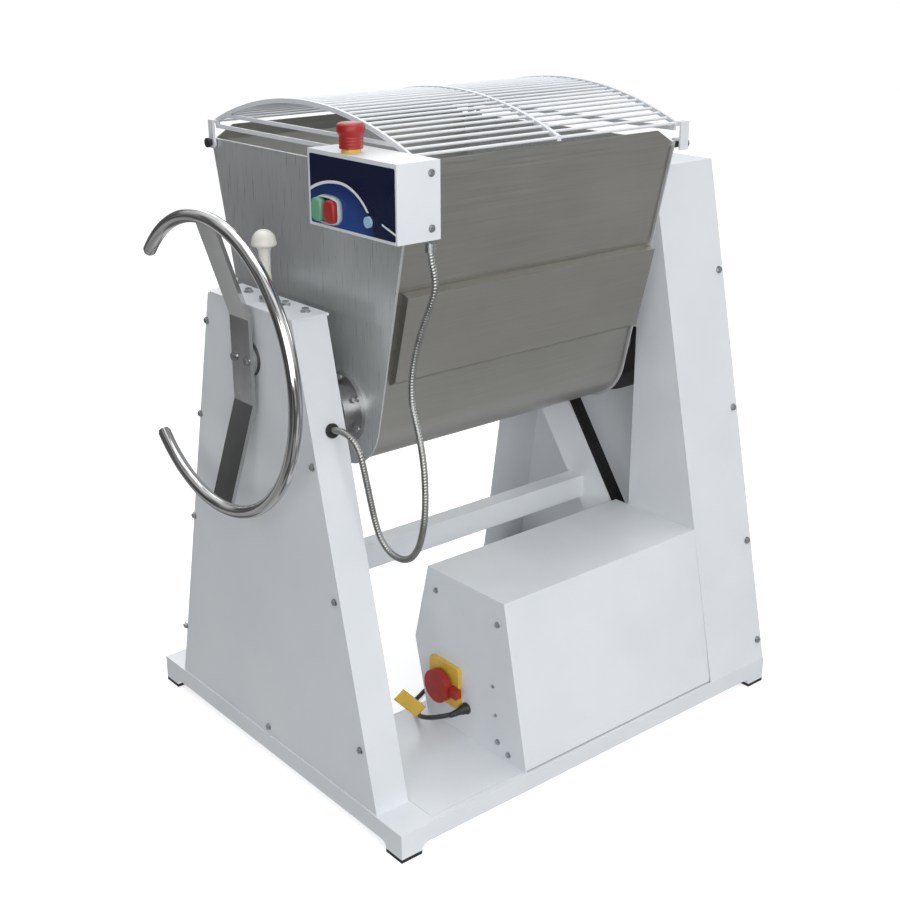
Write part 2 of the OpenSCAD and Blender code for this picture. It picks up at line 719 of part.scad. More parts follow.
module agitator(s) {
  dir = atan2(-shaft_drop, s * shaft_half);
  translate([0, s * shaft_half, -shaft_drop]) union() {
    rod_x(tub_x0 - 8, tub_len + 8 + 40, mix_shaft_r);
    slab(tub_x1 + 10, 24) polygon(gear_points(side_teeth, gear_m, mesh_phase(dir)));
    for (i = [0 : paddles - 1])
      translate([tub_x0 + 60 + i * (tub_len - 120) / (paddles - 1), 0, 0])
        rotate([s * (45 + 60 * i), 0, 0]) {
        cylinder(h = paddle_reach - 26, r = 9);
        translate([0, 0, paddle_reach - 22]) rotate([0, 0, s * 35]) cube([94, 9, 34], center = true);
      }
  }
}

module agitator_front() color("silver") on_axis() agitator(-1);

module agitator_rear() color("silver") on_axis() agitator(1);

// ---- lid ----
function arch_z(y) = arch_mid + sqrt(arch_r * arch_r - y * y);

module arch_bar(x, t) slab(x, t) intersection() {
  translate([0, arch_mid]) difference() {
    circle(r = arch_r + 4, $fn = 360);
    circle(r = arch_r - 4, $fn = 360);
  }
  translate([-arch_half, 300]) square([2 * arch_half, 200]);
}

// Straight bar at the foot of an arch, with a short leg at each end.
module chord_bar(x) slab(x, 6) {
  translate([-297, chord_z]) square([594, 7]);
  for (s = [-1, 1]) translate([s * 293.5 - 3.5, chord_z + 4]) square([7, arch_end - chord_z - 4]);
}

module lid_grid() color("whitesmoke") on_axis() union() {
  for (x = [lid_x0, lid_x1 - 6]) arch_bar(x, 6);
  for (x = [lid_x0, lid_x1 - 6]) chord_bar(x);
  arch_bar(tub_x0 + 325, 9);
  slab(lid_x0, 6) translate([-260, chord_z + 23]) square([520, 6.5]);
  for (i = [0 : lid_rods - 1]) {
    y = -rod_half + i * 2 * rod_half / (lid_rods - 1);
    x0 = i == lid_rods - 1 ? tub_x0 - 10 : lid_x0;
    x1 = i == 0 || i == lid_rods - 1 ? lid_x1 + 24 : lid_x1;
    rod_x(x0, x1 - x0, rod_r, y, arch_z(y));
  }
}

module hinge_lug(x) difference() {
  slab(x, 5) union() {
    translate([pin_y, pin_z]) circle(r = 11);
    translate([pin_y - 8, pin_z]) square([16, arch_end + 4 - pin_z]);
  }
  rod_x(x - 2, 10, pin_r + run, pin_y, pin_z);
  rod_x(x - 2, 10, rod_r + fit, rod_half, arch_z(rod_half));
}

module lid_lugs() color("whitesmoke") on_axis() {
  hinge_lug(tub_x0 - 10);
  hinge_lug(lid_x1 + 4);
  // catch plate over the right-hand front pin
  difference() {
    translate([lid_x1 + 1, -arch_half - 9, 0]) union() {
      translate([0, 0, pin_z - 10]) cube([22, 4, arch_end + 4 - pin_z + 10]);
      translate([0, 0, pin_z + pin_r + 0.4]) cube([22, 22, 4]);
      translate([0, 0, arch_end - 4]) cube([22, 16, 8]);
    }
    rod_x(lid_x1, 26, rod_r + fit, -rod_half, arch_z(rod_half));
  }
}

module lid_pins() color([0.2, 0.2, 0.2]) on_axis() {
  rod_x(tub_x0 - 16, 13, pin_r, pin_y, pin_z);
  rod_x(tub_x0 - 6, 9, pin_r - 2, pin_y, pin_z);
  rod_x(tub_x0 - 20, 5, 9, pin_y, pin_z);
  for (s = [-1, 1]) union() {
    rod_x(tub_x1 - sheet_t, 10, pin_r - 2, s * pin_y, pin_z);
    rod_x(tub_x1, 38, pin_r, s * pin_y, pin_z);
    rod_x(tub_x1 + 37, 5, 9, s * pin_y, pin_z);
  }
}

// ---- control box ----
button_y = [start_y, stop_y];
lamp_y = -311;
lamp_z = 1118;
gland_xy = [-337, -369];

module control_box() color("whitesmoke") difference() {
  translate([box_x, box_y, box_z]) cube([box_w, box_l, box_h]);
  translate([box_x + 2, box_y + 2, box_z + 2]) cube([box_w - 4, box_l - 4, box_h - 4]);
  for (y = button_y) rod_x(box_x - 1, 4, 10, y, button_z);
  rod_x(box_x - 1, 4, 6 + fit, lamp_y, lamp_z);
  translate([estop_x, estop_y, box_z + box_h - 3]) cylinder(h = 4, r = 11);
  translate([gland_xy[0], gland_xy[1], box_z - 1]) cylinder(h = 4, r = 8 + fit);
}

module button_bezel() color([0.25, 0.25, 0.27]) difference() {
  union() {
    slab(box_x - 11, 11) translate([(start_y + stop_y) / 2, button_z]) rounded(66, 48, 5);
    for (y = button_y) rod_x(box_x - 1, 8, 10 - fit, y, button_z);
  }
  for (y = button_y) slab(box_x - 12, 10) translate([y, button_z]) square([28.4, 38.4], center = true);
  for (y = button_y) rod_x(box_x - 20, 40, 5, y, button_z);
}

module pilot_lamp() color("lightblue") union() {
  rod_x(box_x - 5, 5, 9, lamp_y, lamp_z);
  rod_x(box_x - 1, 9, 6, lamp_y, lamp_z);
}

module estop_collar() color("gold") translate([estop_x, estop_y, box_z + box_h]) difference() {
  union() {
    cylinder(h = 12, r = 16);
    translate([0, 0, -8]) cylinder(h = 9, r = 11 - fit);
  }
  translate([0, 0, -9]) cylinder(h = 40, r = 7.1);
}

module estop_button() color("red") translate([estop_x, estop_y, box_z + box_h]) {
  cylinder(h = 24, r = 7);
  difference() {
    union() {
      translate([0, 0, 7]) cylinder(h = 25, r = 19.5);
      translate([0, 0, 32]) cylinder(h = 12, r = 23);
      translate([0, 0, 44]) cylinder(h = 4, r1 = 23, r2 = 17);
    }
    translate([0, 0, 6]) cylinder(h = 14, r = 16.4);
  }
}

module push_button(y) union() {
  slab(box_x - 19, 13) translate([y, button_z]) square([28, 38], center = true);
  rod_x(box_x - 7, 12, 4.9, y, button_z);
}

module start_button() color("seagreen") push_button(start_y);

module stop_button() color("firebrick") push_button(stop_y);

module conduit_gland() color("silver") translate([gland_xy[0], gland_xy[1], 0]) difference() {
  union() {
    translate([0, 0, box_z - 4]) cylinder(h = 10, r = 8);
    translate([0, 0, box_z - 6]) cylinder(h = 6, r = 10.8, $fn = 6);
    translate([0, 0, 1070]) cylinder(h = box_z - 1070 - 4, r = 9.5);
  }
  translate([0, 0, 1060]) cylinder(h = 14.5, r = conduit_r + 0.4);
}

module conduit() color("silver") tube(smooth(conduit_route, 4), conduit_r, 10);

base_frame();
base_plate();
rubber_pads();
stand_left_shell();
stand_left_inner();
stand_left_top();
frame_bolts();
bearing_left();
cross_bar();
stand_right_side();
stand_right_front();
stand_right_inner();
bearing_plate();
drive_brace();
stand_right_rear();
bearing_right();
motor_cover();
motor_cover_end();
gearmotor();
motor_pulley();
drive_belts();
drive_pulley();
drive_shaft();
isolator_plate();
isolator_knob();
cord_gland();
mains_cord();
mains_coil();
mains_plug();
cord_tag();
conduit_grommet();
conduit();
conduit_gland();
plunger_guide();
plunger_pin();
plunger_knob();
wheel_ring();
wheel_spoke();
tilt_shaft();
index_disc();
gear_case();
tub_shell();
tub_end_left();
tub_end_right();
jacket_front();
jacket_rear();
shaft_covers();
tub_bolts();
agitator_front();
agitator_rear();
lid_grid();
lid_lugs();
lid_pins();
control_box();
button_bezel();
estop_collar();
pilot_lamp();
estop_button();
start_button();
stop_button();
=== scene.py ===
"""Studio scene of a tilting twin-shaft dough mixer with a wire lid, a handwheel and a belt drive."""

import json
import math

import bpy
from mathutils import Matrix, Vector
from mathutils.geometry import convex_hull_2d


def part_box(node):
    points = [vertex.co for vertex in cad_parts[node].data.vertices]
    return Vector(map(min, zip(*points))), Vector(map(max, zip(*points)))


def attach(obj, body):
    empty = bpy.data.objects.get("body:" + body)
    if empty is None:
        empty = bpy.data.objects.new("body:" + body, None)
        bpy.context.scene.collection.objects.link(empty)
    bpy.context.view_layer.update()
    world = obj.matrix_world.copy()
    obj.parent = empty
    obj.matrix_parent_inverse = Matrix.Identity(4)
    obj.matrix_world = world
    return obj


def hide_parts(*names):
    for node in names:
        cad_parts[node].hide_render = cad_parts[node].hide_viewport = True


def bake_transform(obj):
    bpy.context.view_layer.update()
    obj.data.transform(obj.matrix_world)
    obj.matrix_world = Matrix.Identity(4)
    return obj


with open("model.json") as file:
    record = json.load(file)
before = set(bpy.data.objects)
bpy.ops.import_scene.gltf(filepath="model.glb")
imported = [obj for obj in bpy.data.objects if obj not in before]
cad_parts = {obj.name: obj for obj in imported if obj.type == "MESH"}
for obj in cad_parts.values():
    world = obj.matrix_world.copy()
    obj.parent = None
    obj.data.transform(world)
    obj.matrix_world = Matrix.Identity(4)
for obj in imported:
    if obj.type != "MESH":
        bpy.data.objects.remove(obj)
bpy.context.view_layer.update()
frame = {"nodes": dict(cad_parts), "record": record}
MM = 0.001

# ---------------------------------------------------------------- camera


def make_camera():
    """Camera to the front left of the machine, a little above it."""
    data = bpy.data.cameras.new("camera")
    data.sensor_width = 36.0
    data.lens = 55.1
    camera = bpy.data.objects.new("camera", data)
    camera.location = (-1.6763, -2.0388, 1.5372)
    camera.rotation_euler = (math.radians(90 - 20.5), math.radians(0.2), math.radians(-39.6))
    bpy.context.collection.objects.link(camera)
    bpy.context.scene.camera = camera


make_camera()

# ---------------------------------------------------------------- materials


def remap(tree, source, from_min, from_max, to_min, to_max):
    """Map Range node behind a socket."""
    made = tree.nodes.new("ShaderNodeMapRange")
    ends = {"From Min": from_min, "From Max": from_max, "To Min": to_min, "To Max": to_max}
    for key, value in ends.items():
        made.inputs[key].default_value = value
    tree.links.new(source, made.inputs["Value"])
    return made


def set_stops(ramp, stops):
    """Gives a colour ramp its (position, colour) stops."""
    elements = ramp.color_ramp.elements
    while len(elements) < len(stops):
        elements.new(0.5)
    for element, (position, colour) in zip(elements, stops):
        element.position = position
        element.color = (*colour, 1)


class Finish:
    """A node material: a principled shader with helpers for noise, colour and bump."""

    def __init__(self, name, roughness=0.5, metallic=0.0, **sockets):
        self.mat = bpy.data.materials.new(name)
        self.mat.use_nodes = True
        self.tree = self.mat.node_tree
        self.shader = self.tree.nodes["Principled BSDF"]
        self.shader.inputs["Roughness"].default_value = roughness
        self.shader.inputs["Metallic"].default_value = metallic
        for key, value in sockets.items():
            self.shader.inputs[key.replace("_", " ")].default_value = value

    def node(self, kind, **inputs):
        made = self.tree.nodes.new("ShaderNode" + kind)
        for key, value in inputs.items():
            made.inputs[key].default_value = value
        return made

    def link(self, source, target):
        self.tree.links.new(source, target)

    def place(self, stretch=(1, 1, 1)):
        coords = self.node("TexCoord")
        mapping = self.node("Mapping", Scale=stretch)
        self.link(coords.outputs["Object"], mapping.inputs["Vector"])
        return mapping.outputs["Vector"]

    def noise(self, scale, detail=3.0, stretch=(1, 1, 1)):
        noise = self.node("TexNoise", Scale=scale, Detail=detail)
        self.link(self.place(stretch), noise.inputs["Vector"])
        return noise.outputs["Fac"]

    def colour(self, source, dark, light, low=0.3, high=0.7):
        ramp = self.node("ValToRGB")
        set_stops(ramp, [(low, dark), (high, light)])
        self.link(source, ramp.inputs["Fac"])
        self.link(ramp.outputs["Color"], self.shader.inputs["Base Color"])

    def rough(self, source, low, high):
        span = remap(self.tree, source, 0.3, 0.7, low, high)
        self.link(span.outputs["Result"], self.shader.inputs["Roughness"])

    def bump(self, source, strength, distance):
        bump = self.node("Bump", Strength=strength, Distance=distance)
        self.link(source, bump.inputs["Height"])
        self.link(bump.outputs["Normal"], self.shader.inputs["Normal"])


def paint(name, dark, light, roughness=0.4):
    """Powder coat: a faint orange peel and slightly uneven gloss."""
    f = Finish(name, roughness)
    f.colour(f.noise(6.0, 4.0), dark, light)
    f.rough(f.noise(14.0, 3.0), roughness - 0.06, roughness + 0.08)
    f.bump(f.noise(900.0, 2.0), 0.12, 0.0002)
    return f.mat


def brushed(name, dark, light, roughness, stretch, strength=0.12, metallic=1.0):
    """Brushed sheet: long fine scratches along one axis over broad cloudy changes."""
    f = Finish(name, roughness, metallic)
    lines = f.noise(1.0, 6.0, stretch)
    clouds = f.noise(5.0, 3.0)
    blend = f.node("Mix")
    blend.inputs["Factor"].default_value = 0.45
    f.link(lines, blend.inputs["A"])
    f.link(clouds, blend.inputs["B"])
    f.colour(blend.outputs["Result"], dark, light, 0.35, 0.65)
    f.rough(lines, roughness - 0.07, roughness + 0.09)
    f.bump(lines, strength, 0.0002)
    return f.mat


def plastic(name, dark, light, roughness=0.38, grain=700.0, strength=0.08):
    """Moulded plastic or rubber with a fine grain."""
    f = Finish(name, roughness)
    f.colour(f.noise(20.0, 3.0), dark, light)
    f.rough(f.noise(60.0, 2.0), roughness - 0.05, roughness + 0.07)
    f.bump(f.noise(grain, 2.0), strength, 0.0002)
    return f.mat


def clear_plastic(name):
    """Milky clear plastic."""
    f = Finish(name, 0.25, Base_Color=(0.62, 0.72, 0.70, 1), Transmission_Weight=0.35)
    f.bump(f.noise(300.0, 2.0), 0.05, 0.0002)
    return f.mat


def chrome(name, dark, light, rough=0.04):
    """Polished metal with faint smears."""
    f = Finish(name, 0.07, 1.0)
    f.colour(f.noise(3.0, 2.0), dark, light)
    f.rough(f.noise(40.0, 5.0), rough, rough + 0.10)
    f.bump(f.noise(25.0, 2.0), 0.03, 0.0004)
    return f.mat


def panel_print():
    """Printed sheet of the control panel: night blue over royal blue, parted by a pale arc."""
    f = Finish("panel_print", 0.32, Specular_IOR_Level=0.3)
    low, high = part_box("control_box")
    coords = f.node("TexCoord")
    split = f.node("SeparateXYZ")
    f.link(coords.outputs["Object"], split.inputs["Vector"])
    y, z = split.outputs["Y"], split.outputs["Z"]

    def calc(operation, *values):
        made = f.node("Math")
        made.operation = operation
        for socket, value in zip(made.inputs, values):
            if isinstance(value, (int, float)):
                socket.default_value = value
            else:
                f.link(value, socket)
        return made.outputs["Value"]

    # how far from the middle of the arc, which is flatter towards the back
    arc_y, arc_z, arc_radius, arc_half = high.y - 0.086, low.z - 0.020, 0.098, 0.0024
    arc_foot = low.z + 0.041
    rear_stretch = 0.72
    along = calc("SUBTRACT", y, arc_y)
    rear, front = calc("MAXIMUM", along, 0.0), calc("MINIMUM", along, 0.0)
    flat = calc("ADD", calc("MULTIPLY", rear, rear_stretch), front)
    up = calc("SUBTRACT", z, arc_z)
    reach = calc("SQRT", calc("ADD", calc("MULTIPLY", flat, flat), calc("MULTIPLY", up, up)))
    arc = calc("COMPARE", reach, arc_radius, arc_half)
    arc = calc("MULTIPLY", arc, calc("GREATER_THAN", z, arc_foot))

    # short slanted dash in the front lower corner
    dash_y, dash_z, dash_end = low.y + 0.02, low.z + 0.022, low.y + 0.038
    dash_rise, dash_half = 0.32, 0.0017
    slope = calc("SUBTRACT", z, calc("MULTIPLY", y, dash_rise))
    dash = calc("COMPARE", slope, dash_z - dash_rise * dash_y, dash_half)
    dash = calc("MULTIPLY", dash, calc("LESS_THAN", y, dash_end))

    # royal blue inside the arc, night blue outside it
    blues = f.node("ValToRGB")
    stops = [
        (0.00, (0.010, 0.060, 0.25)),
        (0.60, (0.008, 0.045, 0.21)),
        (0.878, (0.004, 0.018, 0.10)),
        (0.886, (0.0015, 0.003, 0.016)),
        (1.00, (0.003, 0.006, 0.035)),
    ]
    set_stops(blues, stops)
    f.link(calc("MULTIPLY", reach, 9.0), blues.inputs["Fac"])
    white = f.node("Mix")
    white.data_type = "RGBA"
    f.link(calc("MAXIMUM", arc, dash), white.inputs["Factor"])
    f.link(blues.outputs["Color"], white.inputs["A"])
    white.inputs["B"].default_value = (0.72, 0.76, 0.84, 1)
    f.link(white.outputs["Result"], f.shader.inputs["Base Color"])
    f.rough(f.noise(30.0, 2.0), 0.26, 0.38)
    f.bump(f.noise(500.0, 2.0), 0.04, 0.0002)
    return f.mat


FINISHES = {
    "white_paint": paint("white_paint", (0.66, 0.69, 0.72), (0.71, 0.735, 0.76)),
    "pad_rubber": plastic("pad_rubber", (0.010, 0.010, 0.011), (0.022, 0.022, 0.024), 0.7, 400.0, 0.3),
    "bolt_steel": brushed("bolt_steel", (0.38, 0.39, 0.40), (0.55, 0.56, 0.57), 0.3, (40, 40, 400)),
    "bearing_iron": brushed("bearing_iron", (0.10, 0.10, 0.11), (0.20, 0.20, 0.21), 0.45, (30, 200, 200)),
    "motor_paint": paint("motor_paint", (0.05, 0.08, 0.11), (0.07, 0.10, 0.14), 0.45),
    "dark_iron": paint("dark_iron", (0.018, 0.018, 0.020), (0.035, 0.035, 0.038), 0.42),
    "shaft_steel": brushed("shaft_steel", (0.40, 0.40, 0.40), (0.52, 0.52, 0.52), 0.32, (300, 12, 12)),
    "tub_steel": brushed("tub_steel", (0.40, 0.392, 0.360), (0.475, 0.467, 0.434), 0.38, (6, 420, 420)),
    "wheel_chrome": chrome("wheel_chrome", (0.50, 0.50, 0.49), (0.60, 0.60, 0.59)),
    "yellow_plastic": plastic("yellow_plastic", (0.62, 0.40, 0.05), (0.72, 0.48, 0.07)),
    "red_plastic": plastic("red_plastic", (0.29, 0.011, 0.010), (0.37, 0.018, 0.015)),
    "green_plastic": plastic("green_plastic", (0.10, 0.30, 0.17), (0.14, 0.36, 0.22)),
    "black_plastic": plastic("black_plastic", (0.012, 0.012, 0.014), (0.024, 0.024, 0.027), 0.45),
    "black_cable": plastic("black_cable", (0.012, 0.012, 0.014), (0.026, 0.026, 0.030), 0.5, 300.0, 0.15),
    "flex_steel": brushed("flex_steel", (0.30, 0.31, 0.29), (0.44, 0.45, 0.43), 0.36, (60, 60, 60)),
    "knob_plastic": plastic("knob_plastic", (0.70, 0.69, 0.62), (0.76, 0.75, 0.69), 0.3),
    "lamp_plastic": plastic("lamp_plastic", (0.28, 0.48, 0.66), (0.36, 0.56, 0.72), 0.2),
}
BUTTON_RIM = clear_plastic("button_rim")
SPOKE_STEEL = chrome("spoke_steel", (0.40, 0.41, 0.40), (0.66, 0.67, 0.65), 0.08)
# Tub ends: the tub's brushed steel, brushed up and down and only partly metallic, with a lighter base
# colour than the tub. The lighter base is a painted sheen for the light the ends catch from the white
# stands.
TUB_END_STEEL_PAINTED_SHEEN = brushed(
    "tub_end_steel_painted_sheen", (0.49, 0.51, 0.51), (0.60, 0.62, 0.62), 0.33, (420, 420, 14),
    strength=0.02, metallic=0.55,
)
OWN_FINISH = {"wheel_spoke": SPOKE_STEEL, "tub_end_left": TUB_END_STEEL_PAINTED_SHEEN, "tub_end_right": TUB_END_STEEL_PAINTED_SHEEN}
SLOT_OF = {part["node"]: part["material_slot"] for part in frame["record"]["subparts"]}

# ---------------------------------------------------------------- mesh helpers


def add_mesh(name, verts, faces, finish, body, rounded=True):
    """New piece from points and faces. It rides on body, unless that is None."""
    mesh = bpy.data.meshes.new(name)
    mesh.from_pydata(verts, [], faces)
    mesh.update()
    obj = bpy.data.objects.new(name, mesh)
    bpy.context.collection.objects.link(obj)
    mesh.materials.append(FINISHES[finish] if isinstance(finish, str) else finish)
    for polygon in mesh.polygons:
        polygon.use_smooth = rounded
    if body:
        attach(obj, body)
    return obj


def bevel(obj, width):
    """Breaks the sharp edges of a CAD node."""
    made = obj.modifiers.new("edge", "BEVEL")
    made.width = width
    made.segments = 2
    made.limit_method = "ANGLE"
    made.angle_limit = math.radians(35)
    made.use_clamp_overlap = True


def lathe(name, profile, origin, axis, finish, body, steps=48):
    """Turns a profile of (radius, height) in mm about axis at origin. A radius of 0 closes an end."""
    turn = Vector((0, 0, 1)).rotation_difference(Vector(axis)).to_matrix()
    verts = []
    rings = []
    for radius, height in profile:
        radius *= MM
        height *= MM
        first = len(verts)
        count = steps if radius else 1
        for k in range(count):
            a = 2 * math.pi * k / steps
            point = Vector((radius * math.cos(a), radius * math.sin(a), height))
            verts.append(Vector(origin) + turn @ point)
        rings.append(range(first, first + count))
    faces = []
    for low, high in zip(rings, rings[1:]):
        for k in range(steps):
            n = (k + 1) % steps
            if len(low) == 1:
                faces.append((low[0], high[n], high[k]))
            elif len(high) == 1:
                faces.append((low[k], low[n], high[0]))
            else:
                faces.append((low[k], low[n], high[n], high[k]))
    return add_mesh(name, verts, faces, finish, body)


def prism(name, outline, x, thick, finish, body):
    """Flat sheet with an outline of (y, z) points, from x to x - thick."""
    n = len(outline)
    verts = [(x, y, z) for y, z in outline] + [(x - thick, y, z) for y, z in outline]
    faces = [tuple(range(n)), tuple(range(2 * n - 1, n - 1, -1))]
    faces += [(k, n + k, n + (k + 1) % n, (k + 1) % n) for k in range(n)]
    add_mesh(name, verts, faces, finish, body, rounded=False)


def smooth(points, steps):
    """Catmull-Rom curve through the points, steps from point to point."""
    points = [Vector(p) for p in points]
    last = len(points) - 1
    out = []
    for i in range(last):
        a, b, c, d = (points[max(0, min(last, i + j))] for j in (-1, 0, 1, 2))
        for k in range(steps):
            t = k / steps
            square, cube = 2 * a - 5 * b + 4 * c - d, 3 * b - a - 3 * c + d
            out.append(0.5 * (2 * b + (c - a) * t + square * t**2 + cube * t**3))
    out.append(points[-1])
    return out


def resample(path, step):
    """Points at an even spacing along a polyline."""
    out = [path[0]]
    left = step
    for a, b in zip(path, path[1:]):
        run = (b - a).length
        at = left
        while at < run:
            out.append(a.lerp(b, at / run))
            at += step
        left = at - run
    out.append(path[-1])
    return out


# ---------------------------------------------------------------- mains cord and conduit

CORD_R = 4.75 * MM
COIL_AT = (150 * MM, 104 * MM)
COIL_IN = 47.75 * MM
COIL_OUT = 57.25 * MM
FLOOR_GAP = 0.25 * MM

# points of the two routes, in millimetres
CORD_ROUTE = [
    (-170, -245, 118), (-179, -245, 118), (-193, -242, 117), (-206, -233, 114), (-215, -220, 109),
    (-218, -204, 102), (-216, -187, 94), (-209, -168, 84), (-200, -149, 75), (-190, -130, 68),
    (-181, -111, 63), (-172, -92, 62), (-162, -73, 57), (-151, -55, 46), (-139, -38, 31),
    (-125, -24, 16), (-108, -12, 7), (-88, -2, 5), (-64, 9, 5), (-38, 19, 5), (-10, 28, 5), (20, 36, 5),
    (52, 42, 5), (84, 46, 5), (116, 47, 5),
]
CONDUIT_ROUTE = [
    (-337, -369, 1074), (-336, -370, 1054), (-333, -373, 1032), (-332, -373, 1010), (-334, -366, 984),
    (-337, -355, 957), (-340, -342, 922), (-343, -332, 885), (-346, -328, 848), (-349, -332, 812),
    (-351, -343, 785), (-353, -358, 750), (-356, -371, 705), (-359, -377, 660), (-361, -377, 622),
    (-363, -372, 590), (-365, -362, 561), (-368, -344, 539), (-371, -319, 531), (-375, -295, 538),
    (-379, -277, 557), (-383, -268, 585), (-388, -264, 618), (-393, -261, 652), (-398, -259, 683),
    (-401, -255, 707), (-403, -245, 726), (-406, -230, 738), (-408, -213, 742), (-410, -197, 741),
    (-410, -178, 736),
]


def ease(angle, start):
    """Goes smoothly from 0 to 1 over the quarter turn after start, in degrees."""
    t = max(0.0, min(1.0, (angle - start) / 90.0))
    return t * t * (3 - 2 * t)


def coil_points():
    """Five turns in two columns and three layers: out, in, in, out and out, from the floor up."""
    out = []
    for degrees in range(0, 1801, 12):
        inward = ease(degrees, 290) - ease(degrees, 1010)
        layer = ease(degrees, 650) + ease(degrees, 1370)
        radius = COIL_OUT + (COIL_IN - COIL_OUT) * inward
        a = math.radians(degrees - 90)
        x, y = COIL_AT[0] + radius * math.cos(a), COIL_AT[1] + radius * math.sin(a)
        out.append(Vector((x, y, CORD_R + FLOOR_GAP + 2 * CORD_R * layer)))
    return out


def curve_tube(name, path, radius, finish, body):
    """Round tube along the path, as a curve."""
    data = bpy.data.curves.new(name, "CURVE")
    data.dimensions = "3D"
    data.bevel_depth = radius
    data.bevel_resolution = 4
    data.use_fill_caps = True
    spline = data.splines.new("POLY")
    spline.points.add(len(path) - 1)
    for point, place in zip(spline.points, path):
        point.co = (*place, 1)
    spline.use_smooth = True
    obj = bpy.data.objects.new(name, data)
    bpy.context.collection.objects.link(obj)
    data.materials.append(FINISHES[finish])
    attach(obj, body)
    return obj


def plug_neck():
    """Where the lead enters its plug."""
    low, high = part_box("mains_plug")
    return Vector((low.x, (low.y + high.y) / 2, (low.z + high.z) / 2))


def mains_plug():
    """Moulded rubber plug on its side, with a ribbed neck and two pins."""
    low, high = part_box("mains_plug")
    r = (high.z - low.z) / 2 / MM
    profile = [(0, 0.4), (5.4, 0), (6.2, 1)]
    for k in range(5):
        thin, at = 6.4 + 0.3 * k, 3 + 4 * k
        profile += [(thin + 1, at), (thin, at + 1.2), (thin, at + 2.2)]
    profile += [(9.5, 24), (14, 25.5), (17.5, 28.5), (r, 33), (r, 60), (r - 1.2, 62)]
    profile += [(r - 3, 62), (r - 3.4, 60.6), (0, 60.6)]
    plug = lathe("mains_plug_body", profile, plug_neck(), (1, 0, 0), "black_plastic", "frame")
    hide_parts("mains_plug")
    pin = [(0, 59), (2.4, 59), (2.4, 79), (1.6, 80.6), (0, 81)]
    pins = []
    for name, side in (("plug_pin_a", -9.5 * MM), ("plug_pin_b", 9.5 * MM)):
        at = plug_neck() + Vector((0, side, 0))
        pins.append(lathe(name, pin, at, (1, 0, 0), "bolt_steel", "frame", 20))
    return [plug, *pins]


def cord_tag():
    """Blank flag label, folded round the lead and creased a little."""
    foot = Vector((-211, -170, 96)) * MM
    turn = Matrix.Rotation(math.radians(-18), 3, "Z") @ Matrix.Rotation(math.radians(47), 3, "Y")
    long, half, thick = 68 * MM, 14 * MM, 0.45 * MM
    columns, rows = 24, 8
    verts = []
    for side in (-thick, thick):
        for i in range(columns + 1):
            along = i / columns
            crease = -0.8 * MM * math.sin(math.pi * along)
            for j in range(rows + 1):
                across = 2 * j / rows - 1
                curl = 1.6 * MM * math.sin(2.2 * along) * across**2
                verts.append(foot + turn @ Vector((-long * along, side + curl + crease, half * across)))
    row = rows + 1
    count = (columns + 1) * row
    faces = []
    for i in range(columns):
        for j in range(rows):
            a = i * row + j
            faces.append((a, a + 1, a + row + 1, a + row))
            faces.append((count + a + row, count + a + row + 1, count + a + 1, count + a))
    rim = [i * row for i in range(columns + 1)]
    rim += [columns * row + j for j in range(1, row)]
    rim += [i * row + rows for i in range(columns - 1, -1, -1)]
    rim += range(rows - 1, 0, -1)
    for a, b in zip(rim, rim[1:] + rim[:1]):
        faces.append((a, b, count + b, count + a))
    tag = add_mesh("cord_tag_label", verts, faces, "yellow_plastic", "frame")
    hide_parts("cord_tag")
    return tag


def coil_tie():
    """Strap round the five turns of the coil: a rounded square loop of flat band."""
    middle = Vector((COIL_AT[0] - (COIL_IN + COIL_OUT) / 2, COIL_AT[1], 15.4 * MM))
    wide, high, half_band, thick = 11.5 * MM, 14.2 * MM, 5 * MM, 1.0 * MM
    steps = 28
    verts = []
    faces = []
    for k in range(steps):
        a = 2 * math.pi * k / steps
        cx = math.copysign(abs(math.cos(a)) ** 0.45, math.cos(a))
        cz = math.copysign(abs(math.sin(a)) ** 0.45, math.sin(a))
        for side, grow in ((-1, 0.0), (1, 0.0), (1, thick), (-1, thick)):
            verts.append(middle + Vector((cx * (wide + grow), side * half_band, cz * (high + grow))))
        n = (k + 1) % steps
        for e in range(4):
            f = (e + 1) % 4
            faces.append((4 * k + e, 4 * k + f, 4 * n + f, 4 * n + e))
    return add_mesh("coil_tie", verts, faces, "black_plastic", "frame")


def mains_cord():
    """Lead from its gland over the platform to the coil on the floor, and on to the plug."""
    coil = coil_points()
    way_in = smooth([Vector(p) * MM for p in CORD_ROUTE] + [coil[0]], 4)
    neck = plug_neck()
    way_out = smooth([coil[-1], coil[-1].lerp(neck, 0.4) + Vector((0, 0, 0.8 * MM)), neck], 5)
    path = way_in[:-1] + coil[:-1] + way_out
    cord = curve_tube("mains_lead", path, CORD_R, "black_cable", "frame")
    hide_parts("mains_cord", "mains_coil")
    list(mains_plug())
    cord_tag()
    coil_tie()


def strain_relief():
    """Clamp nut of the lead with its tapered, ribbed sleeve."""
    low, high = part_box("cord_gland")
    centre = Vector((low.x + 24 * MM, (low.y + high.y) / 2, (low.z + high.z) / 2))
    profile = [(0, 0), (7, 0), (7, 8), (12, 8), (12, 11.4), (11.4, 12)]
    profile += [(9.6, 12.4), (9.6, 20), (9, 22), (8, 23)]
    for k in range(6):
        r, at = 7.6 - 0.42 * k, 24 + 4.4 * k
        profile += [(r, at), (r, at + 2.6), (r - 0.9, at + 3), (r - 0.9, at + 4)]
    profile += [(4.9, 51), (0, 51)]
    relief = lathe("strain_relief", profile, centre, (-1, 0, 0), "black_plastic", "frame")
    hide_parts("cord_gland")


